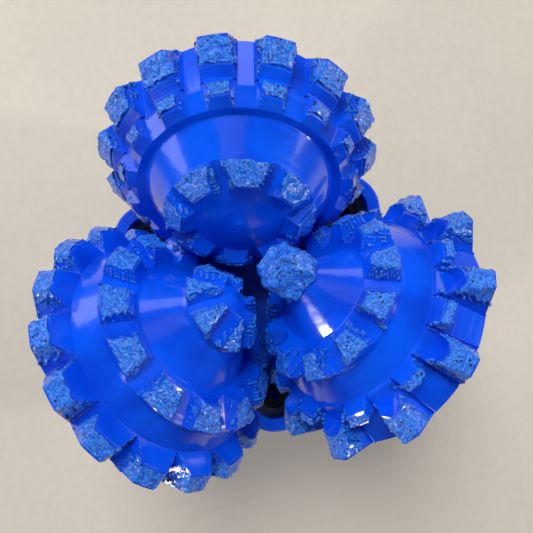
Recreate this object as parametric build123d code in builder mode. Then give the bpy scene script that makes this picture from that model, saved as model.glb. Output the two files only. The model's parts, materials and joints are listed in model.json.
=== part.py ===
"""Milled-tooth tricone drill bit, 12 1/4 in gauge, on a 6 5/8 in regular pin.

Millimetres. The origin is the centre of the pin's end face on the bit's axis, with +Z up
through the cones. Each cone is drawn about its own axis: s runs outwards along the journal
from the point nearest the bit's axis, rho is the radius about it, and phi is the turn.
"""
import os
from math import cos, hypot, radians, sin, tan

from build123d import *

os.makedirs("parts", exist_ok=True)

# Bit
cone_axis_height = 320.0  # height at which the cone axes pass the bit's axis
journal_angle = 33.0  # dip of a journal below the horizontal
cone_offset = 9.525  # sideways skew of each cone axis
leg_radius = 152.0  # outside of the arms, inside the hole's wall
leg_pitch = 120.0
leg_azimuths = {"one": 330.0, "two": 210.0, "three": 90.0}

# Pin and shank
pin_length = 127.0
pin_small_radius = 61.8  # thread root at the free end
pin_large_radius = 71.4  # thread root at the shoulder end
pin_relief_radius = 75.2
pin_relief_length = 12.7
pin_nose_chamfer = 4.0
shoulder_radius = 93.65
shank_radius = 95.25
water_radius = 38.0
water_depth = 140.0
shank_top = 150.0
dome_radius = 112.0
dome_rim_height = 168.0
dome_height = 160.0

# Arms
arm_root_height = 140.0
arm_full_height = 186.0  # where the arm reaches the leg radius
arm_half_width = 70.0
arm_bend_height = 215.0
arm_tip_half_width = 42.0
arm_tip_height = 296.0
arm_top_height = 318.0
swing_clearance = 3.0  # between a turning cone and the legs
swing_nose = ((16.0, 0), (16.0, 24.0), (44.0, 60.0))  # room round the noses, as (s, rho)
swing_middle = 69.0
back_gap = 0.8  # between a cone's back face and its arm

# Journal bearing, along the cone axis
back_face = 124.5
back_radius = 84.0
journal_radius = 40.0
journal_end = 87.95
journal_root = 10.0  # how far the journal runs on inside its arm
seal_seat_radius = 46.0
seal_seat_start = 117.5
seal_section = 2.7
seal_bore_radius = 51.5
seal_bore_start = 117.0
neck_radius = 31.0
neck_end = 69.1
pilot_radius = 22.0
pilot_end = 55.0
running_gap = 0.05
bushing_wall = 4.95
washer_start = 85.4
washer_thickness = 2.5
race_bore_radius = 34.0
race_end_gap = 0.2
pilot_end_gap = 0.7
race_radius = 33.0
race_s = 77.3
ball_radius = 8.0
ball_count = 12
ball_plug_radius = 8.5
ball_hole_start = (race_s + 4.0, race_radius - 3.0)  # (s, rho) of its centre line by the race
ball_hole_end = (175.0, 14.0)
ball_hole_length = 150.0  # enough to leave the arm
ball_plug_reach = 10.0  # from the race to the plug's inner end

# Nozzles
boss_radius = 32.3
boss_centre_radius = 103.1
boss_turn = -53.3  # from the middle of its leg
boss_top = 187.0
boss_foot_radius = 18.0
boss_foot_height = 131.0
boss_full_height = 150.0
boss_edge = 1.5
mouth_radius = 21.0
mouth_depth = 14.0
nozzle_radius = 16.0
nozzle_length = 24.0
nozzle_inlet = 11.5
nozzle_taper = 12.0
nozzle_ring_thickness = 2.2
nozzle_ring_depth = 2.2
nozzle_ring_lip = 2.5  # how far the ring reaches over the nozzle
nozzle_ring_gap = 12.0  # half of the ring's gap, in degrees
passage_radius = 10.0
passage_end_radius = 18.0
passage_end_height = 132.0

# Grease reservoirs
reservoir_height = 200.0
reservoir_radius = 19.0
reservoir_bottom = 104.0  # distance of its floor from the bit's axis
canister_length = 31.0
canister_wall = 2.0
cap_thickness = 9.0
cap_hub_radius = 7.0
reservoir_ring_width = 3.5
reservoir_ring_thickness = 2.2
reservoir_groove = 1.6
reservoir_ring_gap = 14.0

# Welds and hardfacing
seam_depth = 7.0
seam_half_width = 4.0
seam_bottom = 130.6
seam_top = 149.0
pad_thickness = 1.8
pad_half_width = 26.0
pad_bottom = 262.0
pad_top = 306.0
pad_shoulder = 12.0  # from the pad's top down to its straight sides
facing = 1.8  # hardfacing over a crest
facing_depth = 0.72  # share of a heel tooth's height that the hardfacing covers
inner_facing_depth = 0.84  # the same for the rows nearer the nose
floor_lift = 0.25  # a milled floor over the turned ring that it starts from
facing_angle = 3.0  # how much the flank cut opens under the hardfacing
through = 60.0  # length of a cut or bar that is taken right through what it meets
past = 1.0  # how far a cut is taken past the face it opens
cut_size = 500.0  # width of a cut larger than the bit
heel_cut = 44.0  # heights of the milling cutters over their floors
inner_cut = 24.0
second_cut = 20.0

# Gauge of all three cones, as (s, rho)
gauge_tip = (105.0, 107.0)
gauge_back = (124.0, 88.5)


def between(start, end, distance):
    """The point at a distance from start towards end."""
    share = distance / hypot(end[0] - start[0], end[1] - start[1])
    return (start[0] + share * (end[0] - start[0]), start[1] + share * (end[1] - start[1]))


class Row:
    """A ring of teeth: its profile from the nose side, and how its valleys are milled."""

    def __init__(self, foot_in, crest_in, crest_out, foot_out, count, turn, depth=facing_depth):
        self.foot_in, self.crest_in = foot_in, crest_in
        self.crest_out, self.foot_out = crest_out, foot_out
        self.count, self.turn, self.depth = count, turn, depth
        self.pitch = 360.0 / count

    def steel(self):
        """The turned ridge before hardfacing."""
        return [
            self.foot_in,
            between(self.crest_in, self.foot_in, facing),
            between(self.crest_out, self.foot_out, facing),
            self.foot_out,
        ]

    def dressed(self):
        """The band that the hardfacing fills, steel included."""
        inner = hypot(self.crest_in[0] - self.foot_in[0], self.crest_in[1] - self.foot_in[1])
        outer = hypot(self.crest_out[0] - self.foot_out[0], self.crest_out[1] - self.foot_out[1])
        return [
            between(self.crest_in, self.foot_in, self.depth * inner),
            self.crest_in,
            self.crest_out,
            between(self.crest_out, self.foot_out, self.depth * outer),
        ]


class Slot:
    """A milled valley: its floor line as (s, rho) points, floor width and flank angle."""

    def __init__(self, start, end, floor_width, flank, run_in=8.0, run_out=14.0):
        self.start, self.end = start, end
        self.floor_width, self.flank = floor_width, flank
        self.run_in, self.run_out = run_in, run_out

    def lifted(self):
        """The same valley with its floor just over the turned rings at its ends."""
        length = hypot(self.end[0] - self.start[0], self.end[1] - self.start[1])
        lift_s = -floor_lift * (self.end[1] - self.start[1]) / length
        lift_rho = floor_lift * (self.end[0] - self.start[0]) / length
        return Slot(
            (self.start[0] + lift_s, self.start[1] + lift_rho),
            (self.end[0] + lift_s, self.end[1] + lift_rho),
            self.floor_width, self.flank, self.run_in, self.run_out,
        )

    def cutter(self, open_by=0.0, height=heel_cut):
        """The cutter's swept shape, in the plane phi = 0."""
        length = hypot(self.end[0] - self.start[0], self.end[1] - self.start[1])
        step_s = (self.end[0] - self.start[0]) / length
        step_rho = (self.end[1] - self.start[1]) / length
        first = (self.start[0] - self.run_in * step_s, self.start[1] - self.run_in * step_rho)
        path = Plane(
            origin=(first[1], 0, first[0]), x_dir=(step_s, 0, -step_rho), z_dir=(step_rho, 0, step_s)
        )
        half_floor = self.floor_width / 2
        half_top = half_floor + height * tan(radians(self.flank + open_by))
        with BuildPart() as cutter:
            with BuildSketch(path):
                with BuildLine():
                    if half_floor > 0:
                        Polyline(
                            (0, -half_floor), (height, -half_top), (height, half_top), (0, half_floor),
                            close=True,
                        )
                    else:
                        Polyline((0, 0), (height, -half_top), (height, half_top), close=True)
                make_face()
            extrude(amount=length + self.run_in + self.run_out)
        return cutter.part


def ring_of(points, arc=360.0):
    """A turned ring from (s, rho) points about the cone's axis."""
    with BuildPart() as ring:
        with BuildSketch(Plane.XZ):
            with BuildLine():
                Polyline(*[(rho, s) for s, rho in points], close=True)
            make_face()
        revolve(axis=Axis.Z, revolution_arc=arc)
    return ring.part.rotate(Axis.Z, -arc / 2) if arc < 360 else ring.part


def tooth_of(points, arc, cuts):
    """One tooth about phi = 0: a sector of the ring between two milled flanks."""
    with BuildPart() as tooth:
        add(ring_of(points, arc))
        for cut in cuts:
            add(cut, mode=Mode.SUBTRACT)
    return tooth.part


def hardfacing(row, slots, trims=(), arc=None):
    """One cap for each tooth of a row, seated on the milled flanks."""
    arc = arc or row.pitch
    narrow = [slot.cutter().rotate(Axis.Z, side) for slot, side in slots]
    wide = [slot.cutter(open_by=facing_angle).rotate(Axis.Z, side) for slot, side in slots]
    steel = tooth_of(row.steel(), arc, wide)
    cap = tooth_of(row.dressed(), arc, narrow) - steel
    for trim in trims:
        cap = cap - trim
    with BuildPart() as caps:
        with PolarLocations(0, row.count, start_angle=row.turn):
            add(cap)
    return caps.part


def cone_place(azimuth):
    """The seat of a cone: its Z is the cone's axis, outwards along the journal."""
    turn, dip = radians(azimuth), radians(journal_angle)
    side = (-sin(turn), cos(turn), 0)
    return Plane(
        origin=(cone_offset * side[0], cone_offset * side[1], cone_axis_height),
        x_dir=side,
        z_dir=(cos(dip) * cos(turn), cos(dip) * sin(turn), -sin(dip)),
    )


def keep(part, label):
    """Name a finished piece and write it."""
    part.label = label
    export_step(part, f"parts/{label}.step")


# ---- Cone bearing, the same in all three cones


def bearing_bore():
    """The stepped bore and the outer half of the ball race."""
    bore_radius = journal_radius + running_gap + bushing_wall
    with BuildPart() as bore:
        add(
            ring_of(
                [
                    (pilot_end - pilot_end_gap, 0),
                    (pilot_end - pilot_end_gap, pilot_radius + running_gap),
                    (neck_end - race_end_gap, pilot_radius + running_gap),
                    (neck_end - race_end_gap, race_bore_radius),
                    (washer_start, race_bore_radius),
                    (washer_start, bore_radius),
                    (seal_bore_start, bore_radius),
                    (seal_bore_start, seal_bore_radius),
                    (back_face + past, seal_bore_radius),
                    (back_face + past, 0),
                ]
            )
        )
        with Locations((0, 0, race_s)):
            Torus(race_radius, ball_radius + 2 * running_gap)
    return bore.part


bore_cut = bearing_bore()


def cone_shell(outline, patterns):
    """Turn a cone from its (s, rho) outline, mill its valleys and bore it for the journal."""
    with BuildPart() as shell:
        with BuildSketch(Plane.XZ):
            with BuildLine():
                Polyline(*[(rho, s) for s, rho in outline], close=True)
            make_face()
        revolve(axis=Axis.Z)
        for cutter, count, turn in patterns:
            with PolarLocations(0, count, start_angle=turn):
                add(cutter, mode=Mode.SUBTRACT)
        add(bore_cut, mode=Mode.SUBTRACT)
    return shell.part


def halfway(row):
    """The turn of a row's first valley."""
    return row.turn + row.pitch / 2


base = [(back_face, back_radius), (back_face, 0)]

# ---- Cone three: split heel row over a wide band, and a blunt nose row

three_heel = Row((88.5, 86.5), (92.0, 95.0), gauge_tip, gauge_back, 15, 83.5)
three_second = Row((71.8, 74.7), (75.0, 84.0), (82.0, 89.5), (84.5, 86.0), 15, 83.5)
three_nose = Row((42.1, 31.5), (34.5, 41.0), (46.5, 55.0), (50.0, 53.0), 8, 98.0, inner_facing_depth)
three_heel_slot = Slot((85.0, 82.0), (121.5, 91.0), 10.6, 19.0, run_in=3.0)
three_second_slot = Slot((71.8, 74.7), (85.5, 82.2), 14.0, 31.0, run_out=3.0)
three_nose_slot = Slot(three_nose.foot_in, three_nose.foot_out, 6.0, 30.0, run_in=14.0, run_out=9.0)
three_outline = [
    (39.5, 0),
    (41.1, 23.8),
    *three_nose.steel(),
    (73.2, 68.5),
    *three_second.steel(),
    *three_heel.steel(),
    *base,
]

# ---- Cone two: deep heel teeth, a middle row and a nose row

two_heel = Row((96.4, 81.9), (95.0, 99.0), gauge_tip, gauge_back, 16, 94.0)
two_middle = Row((68.4, 52.0), (61.0, 62.5), (70.0, 79.4), (76.6, 74.6), 12, 95.0, inner_facing_depth)
two_nose = Row((27.5, 11.0), (22.0, 17.0), (38.5, 35.0), (44.4, 28.4), 7, 85.4, inner_facing_depth)
two_band = ((47.8, 29.6), (68.6, 48.9))  # turned band below the ledges of the two rows
two_heel_band_start = (78.9, 73.9)
two_heel_slot = Slot(two_heel.foot_in, (123.0, 88.5), 0.0, 30.0)
two_middle_slot = Slot(
    two_middle.foot_in, two_middle.foot_out, 9.0, 24.0, run_in=0.0, run_out=3.0
).lifted()
two_nose_slot = Slot(two_nose.foot_in, two_nose.foot_out, 5.0, 30.0, run_in=14.0, run_out=3.0)
two_outline = [
    (25.5, 0),
    *two_nose.steel(),
    *two_band,
    *two_middle.steel(),
    two_heel_band_start,
    *two_heel.steel(),
    *base,
]

# ---- Cone one: staggered heel row, a middle row and the spearpoint

one_heel = Row((88.0, 71.7), (88.0, 84.0), gauge_tip, gauge_back, 11, 91.5)
one_middle = Row((57.8, 39.2), (49.9, 51.5), (61.0, 66.0), (70.6, 60.0), 11, 83.8, inner_facing_depth)
one_band_end = (58.3, 37.2)
one_heel_band_start = (72.7, 59.9)
one_heel_half_turn = 8.35  # from the middle of an outer tooth to its valley line
one_heel_slot = Slot(one_heel.foot_in, (123.0, 87.5), 0.0, 19.0)
one_middle_slot = Slot(
    one_middle.foot_in, one_middle.foot_out, 8.0, 26.0, run_in=0.0, run_out=3.0
).lifted()
one_step_start = 98.0  # where the inner teeth are milled away towards the gauge
one_step_lift = 1.0  # the step's floor over the valley lines
one_step_flank = 10.0
pocket_radius = 9.5
pocket_floor = (92.0, 76.3)
pocket_lean = 27.0  # of the pocket's axis, from square to the cone's axis towards the nose
neck_point = (35.1, 13.7)
spear_tip = 6.5
spear_half_width = 18.0
spear_half_depth = 16.0
spear_corner = 6.0
spear_taper = 6.0
spear_chamfer = 4.0
spear_turn = 20.0
one_outline = [
    (neck_point[0], 0),
    neck_point,
    one_band_end,
    *one_middle.steel(),
    one_heel_band_start,
    *one_heel.steel(),
    *base,
]


def step_slot():
    """The flat-floored cut that shortens an inner tooth of cone one."""
    slope = (one_heel_slot.end[1] - one_heel_slot.start[1]) / (
        one_heel_slot.end[0] - one_heel_slot.start[0]
    )
    rho = one_heel_slot.start[1] + slope * (one_step_start - one_heel_slot.start[0])
    half_turn = one_heel.pitch / 2 - one_heel_half_turn
    width = 2 * (rho + one_step_lift) * sin(radians(half_turn))
    start = (one_step_start, rho + one_step_lift)
    end = (one_heel_slot.end[0], one_heel_slot.end[1] + one_step_lift)
    return Slot(start, end, width, one_step_flank, run_in=0.0)


def pocket():
    """The round relief plunged into the nose side of an outer tooth of cone one."""
    lean = radians(pocket_lean)
    floor = Plane(
        origin=(pocket_floor[1], 0, pocket_floor[0]),
        x_dir=(0, 1, 0),
        z_dir=(cos(lean), 0, -sin(lean)),
    )
    with BuildPart() as cut:
        with BuildSketch(floor):
            Circle(pocket_radius)
        extrude(amount=through)
    return cut.part


one_step_slot = step_slot()
pocket_cut = pocket()
one_inner = Row(
    one_heel.foot_in, one_heel.crest_in, gauge_tip, gauge_back, 11, one_heel.turn + one_heel.pitch / 2
)

cone_shells = {
    "three": cone_shell(
        three_outline,
        [
            (three_heel_slot.cutter(facing_angle), three_heel.count, halfway(three_heel)),
            (three_second_slot.cutter(facing_angle, second_cut), three_second.count, halfway(three_second)),
            (three_nose_slot.cutter(facing_angle, inner_cut), three_nose.count, halfway(three_nose)),
        ],
    ),
    "two": cone_shell(
        two_outline,
        [
            (two_heel_slot.cutter(facing_angle), two_heel.count, halfway(two_heel)),
            (two_middle_slot.cutter(facing_angle, inner_cut), two_middle.count, halfway(two_middle)),
            (two_nose_slot.cutter(facing_angle, inner_cut), two_nose.count, halfway(two_nose)),
        ],
    ),
    "one": cone_shell(
        one_outline,
        [
            (one_heel_slot.cutter(facing_angle), one_heel.count, one_heel.turn - one_heel_half_turn),
            (one_heel_slot.cutter(facing_angle), one_heel.count, one_heel.turn + one_heel_half_turn),
            (one_step_slot.cutter(), one_heel.count, one_inner.turn),
            (pocket_cut, one_heel.count, one_heel.turn),
            (one_middle_slot.cutter(facing_angle, inner_cut), one_middle.count, halfway(one_middle)),
        ],
    ),
}


def side_cuts(slot, row):
    """The two valleys beside the tooth at phi = 0."""
    return [(slot, -row.pitch / 2), (slot, row.pitch / 2)]


def staggered_facing(row, half_turn, trims):
    """Caps for one set of teeth of the staggered row, between their own valley lines."""
    cuts = [(one_heel_slot, -half_turn), (one_heel_slot, half_turn)]
    return hardfacing(row, cuts, trims, arc=2 * half_turn)


inner_half_turn = one_heel.pitch / 2 - one_heel_half_turn
facings = {
    "three_heel": hardfacing(three_heel, side_cuts(three_heel_slot, three_heel)),
    "three_second": hardfacing(
        three_second,
        side_cuts(three_second_slot, three_second) + side_cuts(three_heel_slot, three_second),
    ),
    "three_nose": hardfacing(three_nose, side_cuts(three_nose_slot, three_nose)),
    "two_heel": hardfacing(two_heel, side_cuts(two_heel_slot, two_heel)),
    "two_middle": hardfacing(two_middle, side_cuts(two_middle_slot, two_middle)),
    "two_nose": hardfacing(two_nose, side_cuts(two_nose_slot, two_nose)),
    "one_outer": staggered_facing(one_heel, one_heel_half_turn, [pocket_cut]),
    "one_inner": staggered_facing(one_inner, inner_half_turn, [one_step_slot.cutter(height=through)]),
    "one_middle": hardfacing(one_middle, side_cuts(one_middle_slot, one_middle)),
}


def spearpoint():
    """The chisel-shaped hardfaced lump on the nose of cone one."""
    with BuildPart() as spear:
        with BuildSketch(Plane.XY.offset(neck_point[0])):
            with BuildLine():
                corner = spear_half_width - spear_corner
                Polyline(
                    (spear_half_width, -spear_half_depth + spear_corner),
                    (spear_half_width, spear_half_depth - spear_corner),
                    (corner, spear_half_depth),
                    (-corner, spear_half_depth),
                    (-spear_half_width, spear_half_depth - spear_corner),
                    (-spear_half_width, -spear_half_depth + spear_corner),
                    (-corner, -spear_half_depth),
                    (corner, -spear_half_depth),
                    close=True,
                )
            make_face()
        extrude(amount=spear_tip - neck_point[0], taper=spear_taper)
        chamfer(spear.faces().sort_by(Axis.Z)[0].edges(), spear_chamfer)
    return spear.part.rotate(Axis.Z, spear_turn)


facings["one_spearpoint"] = spearpoint()


def bushing():
    with BuildPart() as sleeve:
        with BuildSketch(Plane.XY.offset(washer_start + washer_thickness)):
            Circle(journal_radius + running_gap + bushing_wall)
            Circle(journal_radius + running_gap, mode=Mode.SUBTRACT)
        extrude(amount=seal_bore_start - washer_start - washer_thickness - running_gap)
    return sleeve.part


def thrust_washer():
    with BuildPart() as washer:
        with BuildSketch(Plane.XY.offset(washer_start)):
            Circle(journal_radius + running_gap + bushing_wall)
            Circle(race_bore_radius, mode=Mode.SUBTRACT)
        extrude(amount=washer_thickness)
    return washer.part


def retaining_balls():
    with BuildPart() as balls:
        with Locations((0, 0, race_s)):
            with PolarLocations(race_radius, ball_count):
                Sphere(ball_radius)
    return balls.part


def seal():
    with BuildPart() as ring:
        with Locations((0, 0, (seal_seat_start + back_face) / 2)):
            Torus((seal_seat_radius + seal_bore_radius) / 2, seal_section)
    return ring.part


# ---- Legs, drawn with the journal in the XZ plane and turned into place afterwards


def clearance_sweep():
    """What a turning cone may sweep, with the gap that the legs leave round it."""
    room = swing_clearance
    return ring_of(
        [
            *swing_nose,
            (swing_middle, two_middle.crest_out[1] + 2 * room),
            (two_heel.crest_in[0] - room, two_heel.crest_in[1] + room),
            (gauge_tip[0], gauge_tip[1] + room),
            (back_face + back_gap / 2, gauge_back[1] + room),
            (back_face + back_gap / 2, 0),
        ]
    )


def journal():
    """The bearing pin with the inner half of the ball race."""
    with BuildPart() as pin:
        add(
            ring_of(
                [
                    (pilot_end, 0),
                    (pilot_end, pilot_radius),
                    (neck_end, pilot_radius),
                    (neck_end, neck_radius),
                    (journal_end, neck_radius),
                    (journal_end, journal_radius),
                    (seal_seat_start, journal_radius),
                    (seal_seat_start, seal_seat_radius),
                    (back_face + back_gap + journal_root, seal_seat_radius),
                    (back_face + back_gap + journal_root, 0),
                ]
            )
        )
        with Locations((0, 0, race_s)):
            Torus(race_radius, ball_radius + running_gap, mode=Mode.SUBTRACT)
    return pin.part


def rod_between(start, end, radius):
    """A round bar from one point to another."""
    run = Vector(*end) - Vector(*start)
    with BuildPart() as rod:
        with BuildSketch(Plane(origin=start, z_dir=run)):
            Circle(radius)
        extrude(amount=run.length)
    return rod.part


def boss_point(turn, height):
    angle = radians(turn)
    return (boss_centre_radius * cos(angle), boss_centre_radius * sin(angle), height)


def boss(turn):
    """A nozzle boss with its tapered foot."""
    x, y, _ = boss_point(turn, 0)
    with BuildPart() as body:
        with BuildSketch(Plane.XZ):
            with BuildLine():
                Polyline(
                    (0, boss_foot_height),
                    (boss_foot_radius, boss_foot_height),
                    (boss_radius, boss_full_height),
                    (boss_radius, boss_top),
                    (0, boss_top),
                    close=True,
                )
            make_face()
        revolve(axis=Axis.Z)
        chamfer(body.edges().group_by(Axis.Z)[-1], boss_edge)
    return body.part.moved(Location((x, y, 0)))


def nozzle_bore(turn):
    """Mouth, nozzle seat and the slanting passage to the water course."""
    seat_top = boss_top - mouth_depth
    seat_bottom = seat_top - nozzle_length
    x, y, _ = boss_point(turn, 0)
    angle = radians(turn)
    inner = (passage_end_radius * cos(angle), passage_end_radius * sin(angle), passage_end_height)
    slant = rod_between(inner, (x, y, seat_bottom), passage_radius)
    with BuildPart() as bore:
        with BuildSketch(Plane(origin=(x, y, seat_top))):
            Circle(mouth_radius)
        extrude(amount=mouth_depth + past)
        with BuildSketch(Plane(origin=(x, y, seat_bottom))):
            Circle(nozzle_radius + running_gap)
        extrude(amount=nozzle_length)
        with BuildSketch(Plane(origin=(x, y, seat_top))):
            Circle(mouth_radius + nozzle_ring_depth)
        extrude(amount=nozzle_ring_thickness + running_gap)
        add(slant)
        with Locations((x, y, seat_bottom)):
            Sphere(passage_radius)
    return bore.part


def shank_outline():
    """The revolved outline of pin, shoulder and shank, as (radius, height) points."""
    relief_start = pin_length - pin_relief_length
    bevel = shank_radius - shoulder_radius
    return [
        (0, 0),
        (pin_small_radius - pin_nose_chamfer, 0),
        (pin_small_radius, pin_nose_chamfer),
        (pin_large_radius, relief_start),
        (pin_relief_radius, relief_start),
        (pin_relief_radius, pin_length),
        (shoulder_radius, pin_length),
        (shank_radius, pin_length + bevel),
        (shank_radius, shank_top),
        (dome_radius, dome_rim_height),
        (0, dome_height),
    ]


def arm():
    """The forged arm: its front outline carried back to the shank, inside the leg radius."""
    with BuildPart() as body:
        with BuildSketch(Plane.YZ.offset(water_radius)):
            with BuildLine():
                edge = Polyline(
                    (cone_offset - arm_tip_half_width, arm_tip_height),
                    (cone_offset - arm_half_width, arm_bend_height),
                    (cone_offset - arm_half_width, arm_root_height),
                    (cone_offset + arm_half_width, arm_root_height),
                    (cone_offset + arm_half_width, arm_bend_height),
                    (cone_offset + arm_tip_half_width, arm_tip_height),
                )
                ThreePointArc(edge @ 1, (cone_offset, arm_top_height), edge @ 0)
            make_face()
        extrude(amount=leg_radius)
        with BuildSketch(Plane.XZ):
            with BuildLine():
                Line((0, 0), (shank_radius, 0))
                Line((shank_radius, 0), (shank_radius, arm_root_height))
                Spline(
                    (shank_radius, arm_root_height),
                    (leg_radius, arm_full_height),
                    tangents=((0.35, 1), (0, 1)),
                )
                Line((leg_radius, arm_full_height), (leg_radius, arm_top_height + past))
                Line((leg_radius, arm_top_height + past), (0, arm_top_height + past))
                Line((0, arm_top_height + past), (0, 0))
            make_face()
        revolve(axis=Axis.Z, mode=Mode.INTERSECT)
    return body.part


def ball_plug_line(reach):
    """Points on the ball hole's centre line: just over the race, and out through the arm."""
    place = cone_place(0)
    start = place.from_local_coords((0, ball_hole_start[1], ball_hole_start[0]))
    end = place.from_local_coords((0, ball_hole_end[1], ball_hole_end[0]))
    run = (end - start).normalized()
    return start, start + run * reach, run


def seam(clear=0.0):
    """The weld between two legs at phi = 60, as a prism with its root inwards."""
    with BuildPart() as weld:
        with BuildSketch(Plane.XY.offset(seam_bottom)):
            with BuildLine():
                half_width = seam_half_width * (1 + clear / seam_depth)
                Polyline(
                    (shank_radius - seam_depth, 0),
                    (shank_radius + clear, half_width),
                    (shank_radius + clear, -half_width),
                    close=True,
                )
            make_face()
        extrude(amount=seam_top - seam_bottom)
    return weld.part.rotate(Axis.Z, leg_pitch / 2)


def reservoir_bore():
    start = (reservoir_bottom, cone_offset, reservoir_height)
    bore = rod_between(start, (leg_radius + past, cone_offset, reservoir_height), reservoir_radius)
    groove_start = reservoir_bottom + canister_length + cap_thickness
    groove_end = groove_start + reservoir_ring_thickness + running_gap
    groove = rod_between(
        (groove_start, cone_offset, reservoir_height),
        (groove_end, cone_offset, reservoir_height),
        reservoir_radius + reservoir_groove,
    )
    return bore + groove


def pad():
    """The hardfaced pad let into the outside of the arm near its tip."""
    with BuildPart() as body:
        with BuildSketch(Plane.YZ.offset(leg_radius - through / 2)):
            with BuildLine():
                edge = Polyline(
                    (cone_offset - pad_half_width, pad_top - pad_shoulder),
                    (cone_offset - pad_half_width, pad_bottom),
                    (cone_offset + pad_half_width, pad_bottom),
                    (cone_offset + pad_half_width, pad_top - pad_shoulder),
                )
                ThreePointArc(edge @ 1, (cone_offset, pad_top), edge @ 0)
            make_face()
        extrude(amount=through)
        with BuildSketch(Plane.XY):
            Circle(leg_radius)
            Circle(leg_radius - pad_thickness, mode=Mode.SUBTRACT)
        extrude(amount=arm_top_height, mode=Mode.INTERSECT)
    return body.part


def leg():
    """One leg: its third of the pin and shank, the arm, the nozzle boss and the journal."""
    place = cone_place(0)
    turns = (0, leg_pitch, 2 * leg_pitch)
    sweeps = [cone_place(turn).location * clearance_sweep() for turn in turns]
    face_cut = Solid.extrude(
        Face.make_rect(
            cut_size, cut_size, Plane(place.from_local_coords((0, 0, -cut_size / 2)), z_dir=place.z_dir)
        ),
        place.z_dir * (cut_size / 2 + back_face + back_gap),
    )
    arm_piece = arm() - face_cut
    start, _, plug_run = ball_plug_line(0.0)
    ball_hole = rod_between(tuple(start), tuple(start + plug_run * ball_hole_length), ball_plug_radius + running_gap)
    neighbour_boss = boss(boss_turn + leg_pitch)
    pin = place.location * journal()
    own_boss = boss(boss_turn)
    bores = [nozzle_bore(boss_turn + turn) for turn in turns]
    weld_grooves = [seam(past), seam(past).rotate(Axis.Z, -leg_pitch)]
    reservoir = reservoir_bore()
    front_pad = pad()
    reach = leg_radius + boss_radius
    half_span = reach * tan(radians(leg_pitch / 2))
    with BuildPart() as body:
        with BuildSketch(Plane.XZ):
            with BuildLine():
                Polyline(*shank_outline(), close=True)
            make_face()
        revolve(axis=Axis.Z)
        with BuildSketch(Plane.XY):
            Circle(water_radius)
        extrude(amount=water_depth, mode=Mode.SUBTRACT)
        add(arm_piece)
        with BuildSketch(Plane.XY):
            with BuildLine():
                Polyline((0, 0), (reach, -half_span), (reach, half_span), close=True)
            make_face()
        extrude(amount=cone_axis_height, mode=Mode.INTERSECT)
        add(own_boss)
        add(neighbour_boss, mode=Mode.SUBTRACT)
        for sweep in sweeps:
            add(sweep, mode=Mode.SUBTRACT)
        add(pin)
        for cut in (*bores, *weld_grooves, reservoir, front_pad, ball_hole):
            add(cut, mode=Mode.SUBTRACT)
    return body.part


def ball_plug():
    """The plug that closes the ball hole, flush with the outside of the arm."""
    start, _, run = ball_plug_line(0.0)
    bar = rod_between(
        tuple(start + run * ball_plug_reach), tuple(start + run * ball_hole_length), ball_plug_radius
    )
    with BuildPart() as plug:
        add(bar)
        with BuildSketch(Plane.XY):
            Circle(leg_radius)
        extrude(amount=cone_axis_height, mode=Mode.INTERSECT)
    return plug.part


def nozzle():
    x, y, _ = boss_point(boss_turn, 0)
    bottom = boss_top - mouth_depth - nozzle_length
    with BuildPart() as body:
        with BuildSketch(Plane(origin=(x, y, bottom))):
            Circle(nozzle_radius)
        extrude(amount=nozzle_length - running_gap)
        with BuildSketch(Plane(origin=(x, y, bottom))):
            Circle(nozzle_inlet)
        extrude(amount=nozzle_length, taper=nozzle_taper, mode=Mode.SUBTRACT)
    return body.part


def snap_ring(plane, radius, width, thickness, gap_angle):
    """An open ring lying in its groove."""
    with BuildPart() as ring:
        with BuildSketch(plane):
            Circle(radius)
            Circle(radius - width, mode=Mode.SUBTRACT)
            with BuildLine():
                Polyline(
                    (0, 0),
                    (2 * radius * cos(radians(gap_angle)), 2 * radius * sin(radians(gap_angle))),
                    (2 * radius * cos(radians(gap_angle)), -2 * radius * sin(radians(gap_angle))),
                    close=True,
                )
            make_face(mode=Mode.SUBTRACT)
        extrude(amount=thickness)
    return ring.part


def reservoir_canister():
    start = reservoir_bottom
    with BuildPart() as cup:
        with BuildSketch(Plane.YZ.offset(start)):
            with Locations((cone_offset, reservoir_height)):
                Circle(reservoir_radius - running_gap)
        extrude(amount=canister_length)
        with BuildSketch(Plane.YZ.offset(start + canister_wall)):
            with Locations((cone_offset, reservoir_height)):
                Circle(reservoir_radius - running_gap - canister_wall)
        extrude(amount=canister_length, mode=Mode.SUBTRACT)
    return cup.part


def reservoir_cap():
    start = reservoir_bottom + canister_length
    with BuildPart() as cap:
        with BuildSketch(Plane.YZ.offset(start)):
            with Locations((cone_offset, reservoir_height)):
                Circle(reservoir_radius - running_gap)
        extrude(amount=cap_thickness)
        with BuildSketch(Plane.YZ.offset(start + cap_thickness)):
            with Locations((cone_offset, reservoir_height)):
                Circle(cap_hub_radius)
        extrude(amount=reservoir_ring_thickness)
    return cap.part


# ---- Write every piece in its place

leg_part = leg()
plug_part = ball_plug()
nozzle_part = nozzle()
nozzle_x, nozzle_y, _ = boss_point(boss_turn, 0)
nozzle_ring = snap_ring(
    Plane(origin=(nozzle_x, nozzle_y, boss_top - mouth_depth)),
    mouth_radius + nozzle_ring_depth - running_gap,
    mouth_radius + nozzle_ring_depth - running_gap - nozzle_radius + nozzle_ring_lip,
    nozzle_ring_thickness,
    nozzle_ring_gap,
)
reservoir_ring = snap_ring(
    Plane(
        origin=(reservoir_bottom + canister_length + cap_thickness, cone_offset, reservoir_height),
        x_dir=(0, 0, -1),
        z_dir=(1, 0, 0),
    ),
    reservoir_radius + reservoir_groove - running_gap,
    reservoir_ring_width + reservoir_groove,
    reservoir_ring_thickness,
    reservoir_ring_gap,
)
canister_part = reservoir_canister()
cap_part = reservoir_cap()
pad_part = pad()
bushing_part = bushing()
washer_part = thrust_washer()
balls_part = retaining_balls()
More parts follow.
